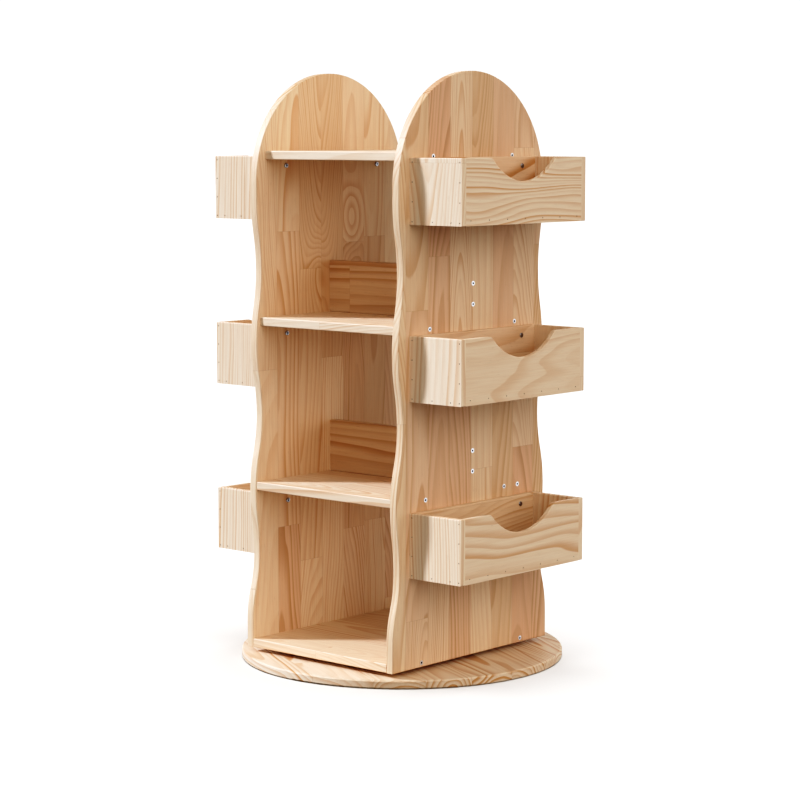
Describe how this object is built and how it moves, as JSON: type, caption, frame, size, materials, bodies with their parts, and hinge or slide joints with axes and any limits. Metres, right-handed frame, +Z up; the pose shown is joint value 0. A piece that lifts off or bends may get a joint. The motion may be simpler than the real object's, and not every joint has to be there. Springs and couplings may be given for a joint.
{
  "type": "rotating display rack",
  "caption": "Free-standing two-sided wooden display tower with wavy arched sides, open shelves with stop rails and scooped side boxes, turning on a round base.",
  "frame": {"origin": "on the floor, under the middle of the round base, on the turntable's axis", "axes": "+Z up along the turntable's axis; -Y towards one open front of the tower and +Y towards the other; +X towards the side panel that carries the right-hand boxes"},
  "size_m": [0.6, 0.6, 1.0814],
  "materials": {
    "pine": "smooth clear-finished edge-glued pine",
    "zinc_screw": "bright zinc plated",
    "zinc_plate": "zinc plated sheet, slightly dull",
    "ball_steel": "polished bearing steel",
    "brad_steel": "dull steel wire"
  },
  "bodies": {
    "base": {"base_disc": "pine", "bearing_lower_plate": "zinc_plate", "bearing_base_screws": "zinc_screw"},
    "ball_ring": {"bearing_ball_cage": "zinc_plate", "bearing_balls": "ball_steel"},
    "tower": {"bearing_upper_plate": "zinc_plate", "bearing_tower_screws": "zinc_screw", "side_panel_left": "pine", "side_panel_right": "pine", "shelf_bottom": "pine", "shelf_lower": "pine", "shelf_upper": "pine", "shelf_top": "pine", "stop_rail_lower": "pine", "stop_rail_upper": "pine", "shelf_screws": "zinc_screw", "rail_screws": "zinc_screw", "box_bolts": "zinc_screw", "box_sleeve_nuts": "zinc_screw", "box_left_top_back": "pine", "box_left_top_front": "pine", "box_left_top_floor": "pine", "box_left_top_end_front": "pine", "box_left_top_end_rear": "pine", "box_left_top_brads": "brad_steel", "box_left_middle_back": "pine", "box_left_middle_front": "pine", "box_left_middle_floor": "pine", "box_left_middle_end_front": "pine", "box_left_middle_end_rear": "pine", "box_left_middle_brads": "brad_steel", "box_left_bottom_back": "pine", "box_left_bottom_front": "pine", "box_left_bottom_floor": "pine", "box_left_bottom_end_front": "pine", "box_left_bottom_end_rear": "pine", "box_left_bottom_brads": "brad_steel", "box_right_top_back": "pine", "box_right_top_front": "pine", "box_right_top_floor": "pine", "box_right_top_end_front": "pine", "box_right_top_end_rear": "pine", "box_right_top_brads": "brad_steel", "box_right_middle_back": "pine", "box_right_middle_front": "pine", "box_right_middle_floor": "pine", "box_right_middle_end_front": "pine", "box_right_middle_end_rear": "pine", "box_right_middle_brads": "brad_steel", "box_right_bottom_back": "pine", "box_right_bottom_front": "pine", "box_right_bottom_floor": "pine", "box_right_bottom_end_front": "pine", "box_right_bottom_end_rear": "pine", "box_right_bottom_brads": "brad_steel"}
  },
  "joints": [
    {"name": "tower_spin", "type": "hinge", "parent": "base", "child": "tower", "pos_m": [0, 0, 0.0205], "axis": [0, 0, 1], "continuous": true},
    {"name": "ball_ring_spin", "type": "hinge", "parent": "base", "child": "ball_ring", "pos_m": [0, 0, 0.0205], "axis": [0, 0, 1], "continuous": true}
  ],
  "couplings": [
    {"joint": "ball_ring_spin", "follows": "tower_spin", "ratio": 0.5}
  ]
}
